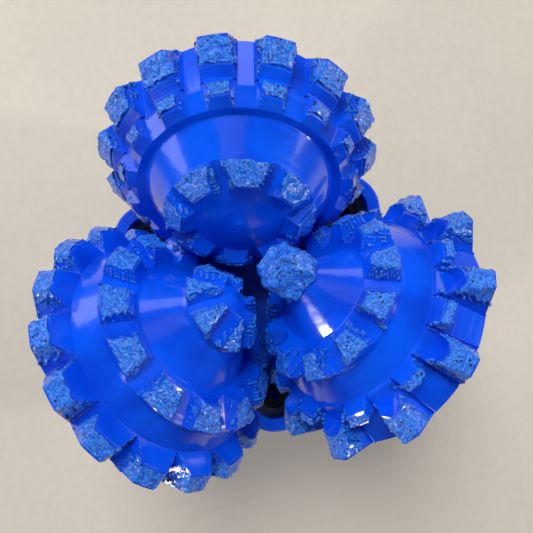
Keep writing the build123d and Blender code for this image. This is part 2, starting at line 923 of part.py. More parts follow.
seal_part = seal()
seam_part = seam()

for number, azimuth in leg_azimuths.items():
    seat = cone_place(azimuth).location
    keep(leg_part.rotate(Axis.Z, azimuth), f"leg_{number}")
    keep(cone_shells[number].moved(seat), f"cone_{number}")
    keep(bushing_part.moved(seat), f"bushing_{number}")
    keep(washer_part.moved(seat), f"thrust_washer_{number}")
    keep(balls_part.moved(seat), f"retaining_balls_{number}")
    keep(seal_part.moved(seat), f"seal_{number}")
    keep(plug_part.rotate(Axis.Z, azimuth), f"ball_plug_{number}")
    keep(nozzle_part.rotate(Axis.Z, azimuth), f"nozzle_{number}")
    keep(canister_part.rotate(Axis.Z, azimuth), f"grease_canister_{number}")
    keep(cap_part.rotate(Axis.Z, azimuth), f"grease_cap_{number}")
    keep(pad_part.rotate(Axis.Z, azimuth), f"shirttail_pad_{number}")

for name, caps in facings.items():
    number = name.split("_")[0]
    keep(caps.moved(cone_place(leg_azimuths[number]).location), f"hardfacing_{name}")

for label, piece in {
    "nozzle_snap_rings": nozzle_ring,
    "grease_snap_rings": reservoir_ring,
    "weld_seams": seam_part,
}.items():
    with BuildPart() as group:
        for azimuth in leg_azimuths.values():
            add(piece.rotate(Axis.Z, azimuth))
    keep(group.part, label)
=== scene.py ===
import json
import math

import bmesh
import bpy
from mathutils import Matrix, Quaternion, Vector

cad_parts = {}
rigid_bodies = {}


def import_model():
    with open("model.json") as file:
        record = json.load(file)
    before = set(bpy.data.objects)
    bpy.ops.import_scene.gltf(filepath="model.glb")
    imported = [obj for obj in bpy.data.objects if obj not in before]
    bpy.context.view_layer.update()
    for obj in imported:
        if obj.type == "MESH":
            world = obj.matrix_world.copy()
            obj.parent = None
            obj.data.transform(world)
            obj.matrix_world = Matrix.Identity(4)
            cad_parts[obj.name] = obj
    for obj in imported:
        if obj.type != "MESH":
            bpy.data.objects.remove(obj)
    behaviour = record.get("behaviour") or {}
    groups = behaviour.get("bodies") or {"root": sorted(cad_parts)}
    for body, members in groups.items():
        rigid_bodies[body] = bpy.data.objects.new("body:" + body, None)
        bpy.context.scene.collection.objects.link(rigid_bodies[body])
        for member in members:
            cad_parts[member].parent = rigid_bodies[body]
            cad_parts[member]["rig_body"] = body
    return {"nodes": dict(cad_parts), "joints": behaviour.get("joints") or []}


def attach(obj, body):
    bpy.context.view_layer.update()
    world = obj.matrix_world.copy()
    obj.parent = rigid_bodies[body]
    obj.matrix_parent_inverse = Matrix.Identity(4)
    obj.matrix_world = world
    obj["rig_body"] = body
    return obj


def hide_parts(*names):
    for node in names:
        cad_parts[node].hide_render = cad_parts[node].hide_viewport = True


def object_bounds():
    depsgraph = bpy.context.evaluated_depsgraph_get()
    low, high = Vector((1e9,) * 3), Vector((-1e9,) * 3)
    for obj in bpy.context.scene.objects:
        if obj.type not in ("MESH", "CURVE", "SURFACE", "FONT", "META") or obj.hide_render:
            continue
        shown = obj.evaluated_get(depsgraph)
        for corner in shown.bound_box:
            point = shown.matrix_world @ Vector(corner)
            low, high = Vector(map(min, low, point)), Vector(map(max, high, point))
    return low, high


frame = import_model()
cadLow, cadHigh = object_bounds()
mm = 0.001
coneNames = ("one", "two", "three")
coneJoints = {joint["child"]: joint for joint in frame["joints"]}


def addNode(tree, kind, inputs=None, **settings):
    node = tree.nodes.new(kind)
    for key, value in settings.items():
        setattr(node, key, value)
    for key, value in (inputs or {}).items():
        if isinstance(value, bpy.types.NodeSocket):
            tree.links.new(value, node.inputs[key])
        else:
            node.inputs[key].default_value = value
    return node


def doMath(tree, operation, *values, clamp=False):
    node = addNode(tree, "ShaderNodeMath", dict(enumerate(values)), operation=operation)
    node.use_clamp = clamp
    return node.outputs[0]


def doVector(tree, operation, *values):
    node = addNode(tree, "ShaderNodeVectorMath", dict(enumerate(values)), operation=operation)
    return node.outputs["Value"] if operation in ("DOT_PRODUCT", "LENGTH") else node.outputs["Vector"]


def remap(tree, value, low, high, toLow=0.0, toHigh=1.0, smooth=True):
    node = addNode(tree, "ShaderNodeMapRange", {
        "Value": value, "From Min": low, "From Max": high, "To Min": toLow, "To Max": toHigh})
    node.interpolation_type = "SMOOTHSTEP" if smooth else "LINEAR"
    return node.outputs["Result"]


def mixColor(tree, factor, first, second):
    node = addNode(tree, "ShaderNodeMix", data_type="RGBA")
    for key, value in ((0, factor), (6, first), (7, second)):
        if isinstance(value, bpy.types.NodeSocket):
            tree.links.new(value, node.inputs[key])
        else:
            node.inputs[key].default_value = value
    return node.outputs[2]


def newGroup(name, inputs, outputs, kind="ShaderNodeTree"):
    tree = bpy.data.node_groups.new(name, kind)
    for label, socketType, value in inputs:
        socket = tree.interface.new_socket(name=label, in_out="INPUT", socket_type=socketType)
        if value is not None:
            socket.default_value = value
    for label, socketType in outputs:
        tree.interface.new_socket(name=label, in_out="OUTPUT", socket_type=socketType)
    return tree, tree.nodes.new("NodeGroupInput").outputs, tree.nodes.new("NodeGroupOutput")


def useGroup(tree, group, inputs):
    node = tree.nodes.new("ShaderNodeGroup")
    node.node_tree = group
    for key, value in inputs.items():
        if isinstance(value, bpy.types.NodeSocket):
            tree.links.new(value, node.inputs[key])
        else:
            node.inputs[key].default_value = value
    return node.outputs


def newMaterial(name):
    material = bpy.data.materials.new(name)
    material.use_nodes = True
    tree = material.node_tree
    shader = tree.nodes["Principled BSDF"]
    place = tree.nodes.new("ShaderNodeTexCoord").outputs["Object"]
    return material, tree, shader, place


def coat(nodeNames, material):
    for name in nodeNames:
        mesh = frame["nodes"][name].data
        mesh.materials.clear()
        mesh.materials.append(material)


cameraView = {
    "place": (0.96 * mm, -27.62 * mm, 692.0 * mm),
    "turn": (0.07779, -0.01564, -0.03897),  # axis times angle, from looking straight down
    "lens": 38.08,
}


def makeCamera(view):
    data = bpy.data.cameras.new("viewFromAbove")
    data.lens = view["lens"]
    data.sensor_width = 36
    data.clip_start = 0.01
    camera = bpy.data.objects.new("viewFromAbove", data)
    turn = Vector(view["turn"])
    camera.location = view["place"]
    camera.rotation_mode = "QUATERNION"
    camera.rotation_quaternion = Quaternion(turn.normalized(), turn.length)
    bpy.context.scene.collection.objects.link(camera)
    bpy.context.scene.camera = camera


studio = {
    "aim": (0, 0, 0.30),
    "sky": (0.72, 0.82, 1.0),
    "skyStrength": 0.05,
    "lights": {
        # direction from the aim, distance, width and height, power, tint, seen in the gloss
        "softOverhead": {"from": (-0.12, 0.42, 0.90), "far": 1.9, "size": (0.9, 0.9), "power": 32,
                         "tint": (1.0, 0.97, 0.93), "inGloss": False},
        "backSky": {"from": (-0.25, 0.86, 0.46), "far": 1.7, "size": (2.0, 0.5), "power": 4,
                    "tint": (0.96, 0.97, 1.0), "inGloss": True},
        "leftSky": {"from": (-0.82, 0.42, 0.24), "far": 1.6, "size": (1.3, 0.6), "power": 4.5,
                    "tint": (0.96, 0.97, 1.0), "inGloss": True},
        "rightSky": {"from": (0.86, 0.40, 0.24), "far": 1.6, "size": (1.0, 0.5), "power": 2.5,
                     "tint": (0.96, 0.97, 1.0), "inGloss": True},
        "rightStrip": {"from": (0.86, -0.10, 0.50), "far": 1.4, "size": (0.06, 0.7), "power": 6,
                       "tint": (1.0, 0.96, 0.93), "inGloss": True},
        "leftStrip": {"from": (-0.74, -0.52, 0.42), "far": 1.4, "size": (0.05, 0.5), "power": 4,
                      "tint": (1.0, 0.97, 0.95), "inGloss": True},
        "lowFront": {"from": (0.1, -0.95, 0.40), "far": 1.7, "size": (1.4, 0.5), "power": 0.6,
                     "tint": (0.92, 0.95, 1.0), "inGloss": False},
    },
}


def makeStudio(settings):
    aim = Vector(settings["aim"])
    for name, light in settings["lights"].items():
        data = bpy.data.lights.new(name, "AREA")
        data.shape = "RECTANGLE"
        data.size, data.size_y = light["size"]
        data.energy = light["power"]
        data.color = light["tint"]
        lamp = bpy.data.objects.new(name, data)
        lamp.location = aim + Vector(light["from"]).normalized() * light["far"]
        lamp.rotation_euler = (aim - lamp.location).to_track_quat("-Z", "Y").to_euler()
        lamp.visible_glossy = light["inGloss"]
        bpy.context.scene.collection.objects.link(lamp)
    world = bpy.data.worlds.new("paleSky")
    world.use_nodes = True
    background = world.node_tree.nodes["Background"]
    background.inputs["Color"].default_value = (*settings["sky"], 1)
    background.inputs["Strength"].default_value = settings["skyStrength"]
    bpy.context.scene.world = world
    bpy.context.scene.view_settings.view_transform = "Standard"


floor = {
    "size": 6.0,
    "pale": (0.70, 0.65, 0.565, 1), "shade": (0.62, 0.58, 0.505, 1), "roughness": 0.85,
    "cloudScale": 2.2, "sandScale": 90.0, "sandShare": 0.25,
}


def makeFloor(settings):
    half = settings["size"] / 2
    mesh = bpy.data.meshes.new("floor")
    corners = [(-half, -half, 0), (half, -half, 0), (half, half, 0), (-half, half, 0)]
    mesh.from_pydata(corners, [], [(0, 1, 2, 3)])
    slab = bpy.data.objects.new("floor", mesh)
    slab.location.z = cadLow.z
    bpy.context.scene.collection.objects.link(slab)
    material, tree, shader, place = newMaterial("paleConcrete")
    clouds = addNode(tree, "ShaderNodeTexNoise", {
        "Vector": place, "Scale": settings["cloudScale"], "Detail": 5.0})
    sand = addNode(tree, "ShaderNodeTexNoise", {
        "Vector": place, "Scale": settings["sandScale"], "Detail": 3.0})
    share = settings["sandShare"]
    blend = doMath(tree, "ADD", doMath(tree, "MULTIPLY", clouds.outputs[0], 1 - share),
                   doMath(tree, "MULTIPLY", sand.outputs[0], share))
    shade = mixColor(tree, remap(tree, blend, 0.35, 0.65), settings["shade"], settings["pale"])
    tree.links.new(shade, shader.inputs["Base Color"])
    shader.inputs["Roughness"].default_value = settings["roughness"]
    mesh.materials.append(material)


makeCamera(cameraView)
makeStudio(studio)
makeFloor(floor)
print("camera, studio and floor are ready")


def makeOrangePeel():
    # sprayed paint: a fine ripple, slow clouds and a few specks
    tree, given, result = newGroup(
        "orangePeel",
        [("Place", "NodeSocketVector", None), ("Ripple Size", "NodeSocketFloat", 0.004),
         ("Speck Spacing", "NodeSocketFloat", 0.012)],
        [("Height", "NodeSocketFloat"), ("Cloud", "NodeSocketFloat"), ("Speck", "NodeSocketFloat")])
    rippleScale = doMath(tree, "DIVIDE", 1.0, given["Ripple Size"])
    ripple = addNode(tree, "ShaderNodeTexNoise", {
        "Vector": given["Place"], "Scale": rippleScale, "Detail": 1.5})
    cloud = addNode(tree, "ShaderNodeTexNoise", {"Vector": given["Place"], "Scale": 26.0, "Detail": 3.0})
    cell = addNode(tree, "ShaderNodeTexVoronoi", {
        "Vector": given["Place"], "Scale": doMath(tree, "DIVIDE", 1.0, given["Speck Spacing"])})
    patch = addNode(tree, "ShaderNodeTexNoise", {"Vector": given["Place"], "Scale": 45.0, "Detail": 2.0})
    speck = doMath(tree, "MULTIPLY", remap(tree, cell.outputs["Distance"], 0.075, 0.03),
                   remap(tree, patch.outputs[0], 0.5, 0.62))
    tree.links.new(ripple.outputs[0], result.inputs["Height"])
    tree.links.new(cloud.outputs[0], result.inputs["Cloud"])
    tree.links.new(speck, result.inputs["Speck"])
    return tree


def makeTurnedRings():
    # rings left by the lathe, about the cone's own axis
    tree, given, result = newGroup(
        "turnedRings",
        [("Place", "NodeSocketVector", None), ("Centre", "NodeSocketVector", None),
         ("Axis", "NodeSocketVector", None), ("Ring Spacing", "NodeSocketFloat", 0.0009)],
        [("Height", "NodeSocketFloat"), ("Streak", "NodeSocketFloat")])
    fromCentre = doVector(tree, "SUBTRACT", given["Place"], given["Centre"])
    along = doVector(tree, "DOT_PRODUCT", fromCentre, given["Axis"])
    across = doVector(tree, "LENGTH", doVector(tree, "CROSS_PRODUCT", fromCentre, given["Axis"]))
    # the pattern runs along the axis and away from it, so bands and flat faces both get rings
    slant = doMath(tree, "ADD", along, doMath(tree, "MULTIPLY", across, 1.31))
    rings = addNode(tree, "ShaderNodeTexNoise", {
        "W": slant, "Scale": doMath(tree, "DIVIDE", 1.0, given["Ring Spacing"]), "Detail": 2.0},
        noise_dimensions="1D")
    ring = addNode(tree, "ShaderNodeCombineXYZ", {"X": along, "Y": across})
    broken = addNode(tree, "ShaderNodeTexNoise", {"Vector": given["Place"], "Scale": 40.0, "Detail": 2.0})
    streak = addNode(tree, "ShaderNodeTexNoise", {"Vector": ring.outputs[0], "Scale": 700.0, "Detail": 2.0})
    height = doMath(tree, "MULTIPLY", rings.outputs[0], remap(tree, broken.outputs[0], 0.3, 0.6, 0.35, 1.0))
    tree.links.new(height, result.inputs["Height"])
    tree.links.new(streak.outputs[0], result.inputs["Streak"])
    return tree


grit = {
    "lumpsPerGrain": 0.55,
    "raggedness": 0.9 * mm,  # how far a pit's rim wanders
    "smallestPit": 0.10, "pitSpread": 0.22,  # shares of the pit spacing
    "grainRelief": 0.6, "lumpRelief": 0.5, "pitRelief": 0.9,
}


def makeCarbideGrit():
    # crushed carbide in a welded matrix: grains, lumps and pits that the paint doesn't fill; the pit mask
    # also places the painted shade of those hollows
    tree, given, result = newGroup(
        "carbideGrit",
        [("Place", "NodeSocketVector", None), ("Grain Size", "NodeSocketFloat", 0.0013),
         ("Pit Spacing", "NodeSocketFloat", 0.0027), ("Pit Share", "NodeSocketFloat", 0.62)],
        [("Height", "NodeSocketFloat"), ("Pit", "NodeSocketFloat"), ("Grain", "NodeSocketFloat")])
    grain = addNode(tree, "ShaderNodeTexNoise", {
        "Vector": given["Place"], "Scale": doMath(tree, "DIVIDE", 1.0, given["Grain Size"]),
        "Detail": 3.0, "Roughness": 0.6})
    lumpScale = doMath(tree, "DIVIDE", grit["lumpsPerGrain"], given["Grain Size"])
    lump = addNode(tree, "ShaderNodeTexVoronoi", {"Vector": given["Place"], "Scale": lumpScale},
                   feature="SMOOTH_F1")
    warp = doVector(tree, "ADD", given["Place"],
                    doVector(tree, "MULTIPLY", grain.outputs["Color"], (grit["raggedness"],) * 3))
    cell = addNode(tree, "ShaderNodeTexVoronoi", {
        "Vector": warp, "Scale": doMath(tree, "DIVIDE", 1.0, given["Pit Spacing"])})
    patch = addNode(tree, "ShaderNodeTexNoise", {"Vector": given["Place"], "Scale": 75.0, "Detail": 2.0})
    chance = addNode(tree, "ShaderNodeSeparateColor", {"Color": cell.outputs["Color"]})
    wanted = doMath(tree, "LESS_THAN", chance.outputs[0], given["Pit Share"])
    reach = doMath(tree, "ADD", grit["smallestPit"],
                   doMath(tree, "MULTIPLY", chance.outputs[1], grit["pitSpread"]))
    depth = doMath(tree, "SUBTRACT", reach, cell.outputs["Distance"])
    pit = doMath(tree, "MULTIPLY", doMath(tree, "MULTIPLY", remap(tree, depth, -0.02, 0.06), wanted),
                 remap(tree, patch.outputs[0], 0.34, 0.48))
    raised = doMath(tree, "ADD", doMath(tree, "MULTIPLY", grain.outputs[0], grit["grainRelief"]),
                    doMath(tree, "MULTIPLY", lump.outputs["Distance"], grit["lumpRelief"]))
    height = doMath(tree, "SUBTRACT", raised, doMath(tree, "MULTIPLY", pit, grit["pitRelief"]))
    tree.links.new(height, result.inputs["Height"])
    tree.links.new(pit, result.inputs["Pit"])
    tree.links.new(grain.outputs[0], result.inputs["Grain"])
    return tree


orangePeel = makeOrangePeel()
turnedRings = makeTurnedRings()
carbideGrit = makeCarbideGrit()
print("shared effects are ready")


paint = {
    "blue": (0.0008, 0.100, 0.93, 1),
    "thickBlue": (0.0004, 0.060, 0.72, 1),
    # lighter, whiter blue for the grain tops of the hardfacing: partly thin paint, partly painted sheen
    # standing in for the glints across the grit
    "thinPaintAndSheenBlue": (0.030, 0.290, 0.97, 1),
    # near-black for the specks of dirt in the enamel, and for the pits of the hardfacing, where it is
    # painted shade in the hollows
    "speckAndPitShadeBlack": (0.0015, 0.002, 0.006, 1),
    "roundedEdge": 1.0 * mm,
}


def roundedNormal(tree, radius):
    return addNode(tree, "ShaderNodeBevel", {"Radius": radius}, samples=4).outputs[0]


machined = {
    "ripple": 4.5 * mm, "specks": 11.0 * mm,
    "glossiest": 0.13, "dullest": 0.26, "speckDullness": 0.4,
    "ringDepth": 0.06 * mm, "rippleDepth": 0.25 * mm,
    "specular": 0.55, "coat": 0.7, "coatRoughness": 0.06,
}


def machinedEnamel(name, centre, axis):
    material, tree, shader, place = newMaterial(name)
    peel = useGroup(tree, orangePeel, {
        "Place": place, "Ripple Size": machined["ripple"], "Speck Spacing": machined["specks"]})
    turned = useGroup(tree, turnedRings, {"Place": place, "Centre": centre, "Axis": axis})
    shade = mixColor(tree, remap(tree, peel["Cloud"], 0.35, 0.65), paint["thickBlue"], paint["blue"])
    shade = mixColor(tree, peel["Speck"], shade, paint["speckAndPitShadeBlack"])
    tree.links.new(shade, shader.inputs["Base Color"])
    streak = remap(tree, turned["Streak"], 0.35, 0.7, machined["glossiest"], machined["dullest"])
    rough = doMath(tree, "ADD", streak, doMath(tree, "MULTIPLY", peel["Speck"], machined["speckDullness"]))
    tree.links.new(rough, shader.inputs["Roughness"])
    rings = addNode(tree, "ShaderNodeBump", {
        "Strength": 0.35, "Distance": machined["ringDepth"], "Height": turned["Height"],
        "Normal": roundedNormal(tree, paint["roundedEdge"])})
    ripple = addNode(tree, "ShaderNodeBump", {
        "Strength": 0.5, "Distance": machined["rippleDepth"], "Height": peel["Height"],
        "Normal": rings.outputs[0]})
    tree.links.new(ripple.outputs[0], shader.inputs["Normal"])
    shader.inputs["Specular IOR Level"].default_value = machined["specular"]
    shader.inputs["Coat Weight"].default_value = machined["coat"]
    shader.inputs["Coat Roughness"].default_value = machined["coatRoughness"]
    return material


pin = {
    "top": 126.0 * mm, "wander": 5.0 * mm,
    "edge": 0.8 * mm,
    "phosphate": (0.045, 0.045, 0.048, 1), "worn": (0.22, 0.215, 0.21, 1), "metallic": 0.85,
}


def makeBarePin():
    # the pin stays unpainted below its shoulder: dark phosphate with worn, brighter patches
    tree, given, result = newGroup(
        "barePin",
        [("Place", "NodeSocketVector", None), ("Top", "NodeSocketFloat", pin["top"]),
         ("Wander", "NodeSocketFloat", pin["wander"])],
        [("Bare", "NodeSocketFloat"), ("Color", "NodeSocketColor"), ("Roughness", "NodeSocketFloat")])
    height = addNode(tree, "ShaderNodeSeparateXYZ", {"Vector": given["Place"]}).outputs["Z"]
    wander = addNode(tree, "ShaderNodeTexNoise", {"Vector": given["Place"], "Scale": 60.0, "Detail": 4.0})
    drift = doMath(tree, "MULTIPLY", doMath(tree, "SUBTRACT", wander.outputs[0], 0.5), given["Wander"])
    edge = doMath(tree, "SUBTRACT", doMath(tree, "ADD", height, drift), given["Top"])
    bare = remap(tree, edge, pin["edge"], -pin["edge"])
    worn = addNode(tree, "ShaderNodeTexNoise", {"Vector": given["Place"], "Scale": 110.0, "Detail": 5.0})
    shade = mixColor(tree, remap(tree, worn.outputs[0], 0.56, 0.80), pin["phosphate"], pin["worn"])
    tree.links.new(bare, result.inputs["Bare"])
    tree.links.new(shade, result.inputs["Color"])
    tree.links.new(remap(tree, worn.outputs[0], 0.4, 0.7, 0.55, 0.32), result.inputs["Roughness"])
    return tree


barePin = makeBarePin()


def barePinMaterial(name):
    material, tree, shader, place = newMaterial(name)
    bare = useGroup(tree, barePin, {"Place": place})
    tree.links.new(bare["Color"], shader.inputs["Base Color"])
    tree.links.new(bare["Roughness"], shader.inputs["Roughness"])
    shader.inputs["Metallic"].default_value = pin["metallic"]
    return material


forged = {
    "ripple": 6.0 * mm, "specks": 16.0 * mm,
    "skinScale": 160.0, "skinDepth": 0.3 * mm,
    "glossiest": 0.2, "dullest": 0.36, "coat": 0.5, "coatRoughness": 0.1,
}


def forgedEnamel(name):
    material, tree, shader, place = newMaterial(name)
    bare = useGroup(tree, barePin, {"Place": place})
    peel = useGroup(tree, orangePeel, {
        "Place": place, "Ripple Size": forged["ripple"], "Speck Spacing": forged["specks"]})
    scale = addNode(tree, "ShaderNodeTexNoise", {
        "Vector": place, "Scale": forged["skinScale"], "Detail": 4.0})
    shade = mixColor(tree, remap(tree, peel["Cloud"], 0.35, 0.65), paint["thickBlue"], paint["blue"])
    shade = mixColor(tree, peel["Speck"], shade, paint["speckAndPitShadeBlack"])
    tree.links.new(mixColor(tree, bare["Bare"], shade, bare["Color"]), shader.inputs["Base Color"])
    gloss = addNode(tree, "ShaderNodeMix", {"Factor": bare["Bare"]})
    painted = remap(tree, scale.outputs[0], 0.3, 0.7, forged["glossiest"], forged["dullest"])
    tree.links.new(painted, gloss.inputs[2])
    tree.links.new(bare["Roughness"], gloss.inputs[3])
    tree.links.new(gloss.outputs[0], shader.inputs["Roughness"])
    tree.links.new(doMath(tree, "MULTIPLY", bare["Bare"], pin["metallic"]), shader.inputs["Metallic"])
    tree.links.new(remap(tree, bare["Bare"], 0.0, 1.0, forged["coat"], 0.0), shader.inputs["Coat Weight"])
    rough = addNode(tree, "ShaderNodeBump", {
        "Strength": 0.6, "Distance": forged["skinDepth"], "Height": scale.outputs[0],
        "Normal": roundedNormal(tree, paint["roundedEdge"])})
    tree.links.new(rough.outputs[0], shader.inputs["Normal"])
    shader.inputs["Coat Roughness"].default_value = forged["coatRoughness"]
    return material


hardfaced = {
    "dullest": 0.30, "glossiest": 0.10, "pitDullness": 0.5, "relief": 1.6 * mm,
    "specular": 0.9, "coat": 1.0, "coatRoughness": 0.1,
}


def hardfacedEnamel(name):
    material, tree, shader, place = newMaterial(name)
    welded = useGroup(tree, carbideGrit, {"Place": place})
    # grain tops get the lighter blue: thin paint and painted sheen
    shade = mixColor(tree, remap(tree, welded["Grain"], 0.38, 0.62), paint["thickBlue"], paint["thinPaintAndSheenBlue"])
    # pits painted near-black: painted shade inside the hollows of the grit
    shade = mixColor(tree, welded["Pit"], shade, paint["speckAndPitShadeBlack"])
    tree.links.new(shade, shader.inputs["Base Color"])
    gloss = remap(tree, welded["Grain"], 0.35, 0.65, hardfaced["dullest"], hardfaced["glossiest"])
    dull = doMath(tree, "MULTIPLY", welded["Pit"], hardfaced["pitDullness"])
    tree.links.new(doMath(tree, "ADD", gloss, dull, clamp=True), shader.inputs["Roughness"])
    bump = addNode(tree, "ShaderNodeBump", {
        "Strength": 1.0, "Distance": hardfaced["relief"], "Height": welded["Height"]})
    tree.links.new(bump.outputs[0], shader.inputs["Normal"])
    shader.inputs["Specular IOR Level"].default_value = hardfaced["specular"]
    shader.inputs["Coat Weight"].default_value = hardfaced["coat"]
    shader.inputs["Coat Roughness"].default_value = hardfaced["coatRoughness"]
    return material


def onEach(stem):
    return [stem + "_" + coneName for coneName in coneNames]


metals = {
    "bearingBronze": {"on": onEach("bushing") + onEach("thrust_washer"),
                      "color": (0.55, 0.36, 0.15), "roughness": 0.25, "metallic": 1.0},
    "groundSteel": {"on": onEach("retaining_balls"),
                    "color": (0.55, 0.56, 0.58), "roughness": 0.12, "metallic": 1.0},
    "platedSteel": {"on": onEach("grease_canister"),
                    "color": (0.5, 0.5, 0.5), "roughness": 0.3, "metallic": 1.0},
    # near-black nozzles: the carbide's own dark grey, darkened further as painted shade in the nozzle bores
    "nozzleCarbideAndBoreShade": {"on": onEach("nozzle"),
                      "color": (0.03, 0.03, 0.034), "roughness": 0.4, "metallic": 0.6},
    "springSteel": {"on": ["nozzle_snap_rings", "grease_snap_rings"],
                    "color": (0.2, 0.2, 0.22), "roughness": 0.3, "metallic": 1.0},
    "sealRubber": {"on": onEach("seal"),
                   "color": (0.01, 0.01, 0.01), "roughness": 0.5, "metallic": 0.0},
}
metalGrain = {
    "scratches": 300.0, "stains": 60.0, "stainShade": 0.7,
    "roughnessSpread": 0.15, "depth": 0.1 * mm,
}


def bareMetal(name, color, roughness, metallic):
    material, tree, shader, place = newMaterial(name)
    grain = addNode(tree, "ShaderNodeTexNoise", {
        "Vector": place, "Scale": metalGrain["scratches"], "Detail": 4.0})
    stain = addNode(tree, "ShaderNodeTexNoise", {
        "Vector": place, "Scale": metalGrain["stains"], "Detail": 3.0})
    darker = tuple(metalGrain["stainShade"] * part for part in color)
    shade = mixColor(tree, remap(tree, stain.outputs[0], 0.35, 0.65), (*darker, 1), (*color, 1))
    tree.links.new(shade, shader.inputs["Base Color"])
    rough = remap(tree, grain.outputs[0], 0.3, 0.7, roughness, roughness + metalGrain["roughnessSpread"])
    tree.links.new(rough, shader.inputs["Roughness"])
    bump = addNode(tree, "ShaderNodeBump", {
        "Strength": 0.3, "Distance": metalGrain["depth"], "Height": grain.outputs[0]})
    tree.links.new(bump.outputs[0], shader.inputs["Normal"])
    shader.inputs["Metallic"].default_value = metallic
    return material


for coneName in coneNames:
    joint = coneJoints["rolling_cone_" + coneName]
    coat(["cone_" + coneName], machinedEnamel("coneEnamel_" + coneName, joint["pos_m"], joint["axis"]))

legEnamel = forgedEnamel("legEnamel")
coat(onEach("leg") + onEach("grease_cap") + onEach("ball_plug") + ["weld_seams"], legEnamel)
for metalName, metal in metals.items():
    coat(metal["on"], bareMetal(metalName, metal["color"], metal["roughness"], metal["metallic"]))
print("finishes are ready")


facing = {
    "voxel": 0.9 * mm,
    "smoothing": 6, "softness": 0.5,
    "lumpSize": 7.5 * mm, "lumpHeight": 5.5 * mm,
    "grainSize": 2.6 * mm, "grainHeight": 2.0 * mm,
    "inset": 0.95 * mm,
    "spearLump": 1.6,  # the spearpoint is the roughest
}


def pushOut(tree, geometry, rise):
    normal = tree.nodes.new("GeometryNodeInputNormal").outputs[0]
    offset = addNode(tree, "ShaderNodeVectorMath", {0: normal, "Scale": rise}, operation="SCALE")
    moved = addNode(tree, "GeometryNodeSetPosition", {"Geometry": geometry, "Offset": offset.outputs[0]})
    return moved.outputs[0]


def finishTree(tree, geometry, given, result, smooth=True):
    # instances are made real, because the export drops them
    shaded = addNode(tree, "GeometryNodeSetShadeSmooth", {"Geometry": geometry, "Shade Smooth": smooth})
    real = addNode(tree, "GeometryNodeRealizeInstances", {"Geometry": shaded.outputs[0]})
    coated = addNode(tree, "GeometryNodeSetMaterial", {
        "Geometry": real.outputs[0], "Material": given["Finish"]})
    tree.links.new(coated.outputs[0], result.inputs["Geometry"])


def makeReliefTree():
    # the lumps and grains of hardfacing, each pushed out or in along the surface's own normal
    tree, given, result = newGroup(
        "weldedRelief",
        [("Geometry", "NodeSocketGeometry", None), ("Lump Size", "NodeSocketFloat", 0.007),
         ("Lump Height", "NodeSocketFloat", 0.001), ("Grain Size", "NodeSocketFloat", 0.0024),
         ("Grain Height", "NodeSocketFloat", 0.0005), ("Inset", "NodeSocketFloat", 0.0003),
         ("Finish", "NodeSocketMaterial", None)],
        [("Geometry", "NodeSocketGeometry")], "GeometryNodeTree")
    place = tree.nodes.new("GeometryNodeInputPosition").outputs[0]
    heights = []
    for size, height, detail in (("Lump Size", "Lump Height", 1.0), ("Grain Size", "Grain Height", 2.0)):
        noise = addNode(tree, "ShaderNodeTexNoise", {
            "Vector": place, "Scale": doMath(tree, "DIVIDE", 1.0, given[size]), "Detail": detail})
        swing = doMath(tree, "SUBTRACT", noise.outputs[0], 0.5)
        heights.append(doMath(tree, "MULTIPLY", swing, given[height]))
    rise = doMath(tree, "SUBTRACT", doMath(tree, "ADD", *heights), given["Inset"])
    finishTree(tree, pushOut(tree, given["Geometry"], rise), given, result)
    return tree


def setInputs(modifier, values):
    for item in modifier.node_group.interface.items_tree:
        if item.item_type == "SOCKET" and item.in_out == "INPUT" and item.name in values:
            modifier[item.identifier] = values[item.name]


weldDistance = 0.002 * mm


def mergedCopy(nodeName, pieceName):
    shape = bmesh.new()
    shape.from_mesh(frame["nodes"][nodeName].data)
    bmesh.ops.remove_doubles(shape, verts=shape.verts, dist=weldDistance)
    bmesh.ops.recalc_face_normals(shape, faces=shape.faces)
    mesh = bpy.data.meshes.new(pieceName)
    shape.to_mesh(mesh)
    shape.free()
    piece = bpy.data.objects.new(pieceName, mesh)
    bpy.context.scene.collection.objects.link(piece)
    return piece


def voxelRemesh(piece, size):
    remesh = piece.modifiers.new("remesh", "REMESH")
    remesh.mode = "VOXEL"
    remesh.voxel_size = size


def settle(piece):
    # what the modifiers give becomes the piece's own mesh
    graph = bpy.context.evaluated_depsgraph_get()
    mesh = bpy.data.meshes.new_from_object(piece.evaluated_get(graph))
    piece.modifiers.clear()
    old = piece.data
    piece.data = mesh
    bpy.data.meshes.remove(old)


reliefTree = makeReliefTree()
facingEnamel = hardfacedEnamel("facingEnamel")


def weldFacing(nodeName):
    piece = mergedCopy(nodeName, nodeName.replace("hardfacing", "welded"))
    voxelRemesh(piece, facing["voxel"])
    soften = piece.modifiers.new("soften", "SMOOTH")
    soften.factor = facing["softness"]
    soften.iterations = facing["smoothing"]
    relief = piece.modifiers.new("relief", "NODES")
    relief.node_group = reliefTree
    more = facing["spearLump"] if "spearpoint" in nodeName else 1.0
    setInputs(relief, {
        "Lump Size": facing["lumpSize"] * more, "Lump Height": facing["lumpHeight"] * more,
        "Grain Size": facing["grainSize"], "Grain Height": facing["grainHeight"],
        "Inset": facing["inset"], "Finish": facingEnamel})
    settle(piece)
    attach(piece, frame["nodes"][nodeName]["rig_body"])
    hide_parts(nodeName)
    return len(piece.data.polygons)


facedNodes = sorted(name for name in frame["nodes"] if name.startswith("hardfacing"))
coat(facedNodes + onEach("shirttail_pad"), facingEnamel)
for nodeName in facedNodes:
    print(nodeName, weldFacing(nodeName), "faces")
print("hardfacing is welded on")

thread = {
    "start": 3.5 * mm, "end": 116.0 * mm, "pitch": 6.35 * mm,
    "rootAtStart": 61.75 * mm, "rootAtEnd": 71.55 * mm,
    "height": 3.75 * mm, "flat": 0.30,  # the crest's flat, as a share of the pitch
    "sunk": 0.5 * mm,  # the strip's edges lie this far under the pin's surface
    "stepsPerTurn": 72, "acrossSteps": 8, "runOutTurns": 1.2,
}


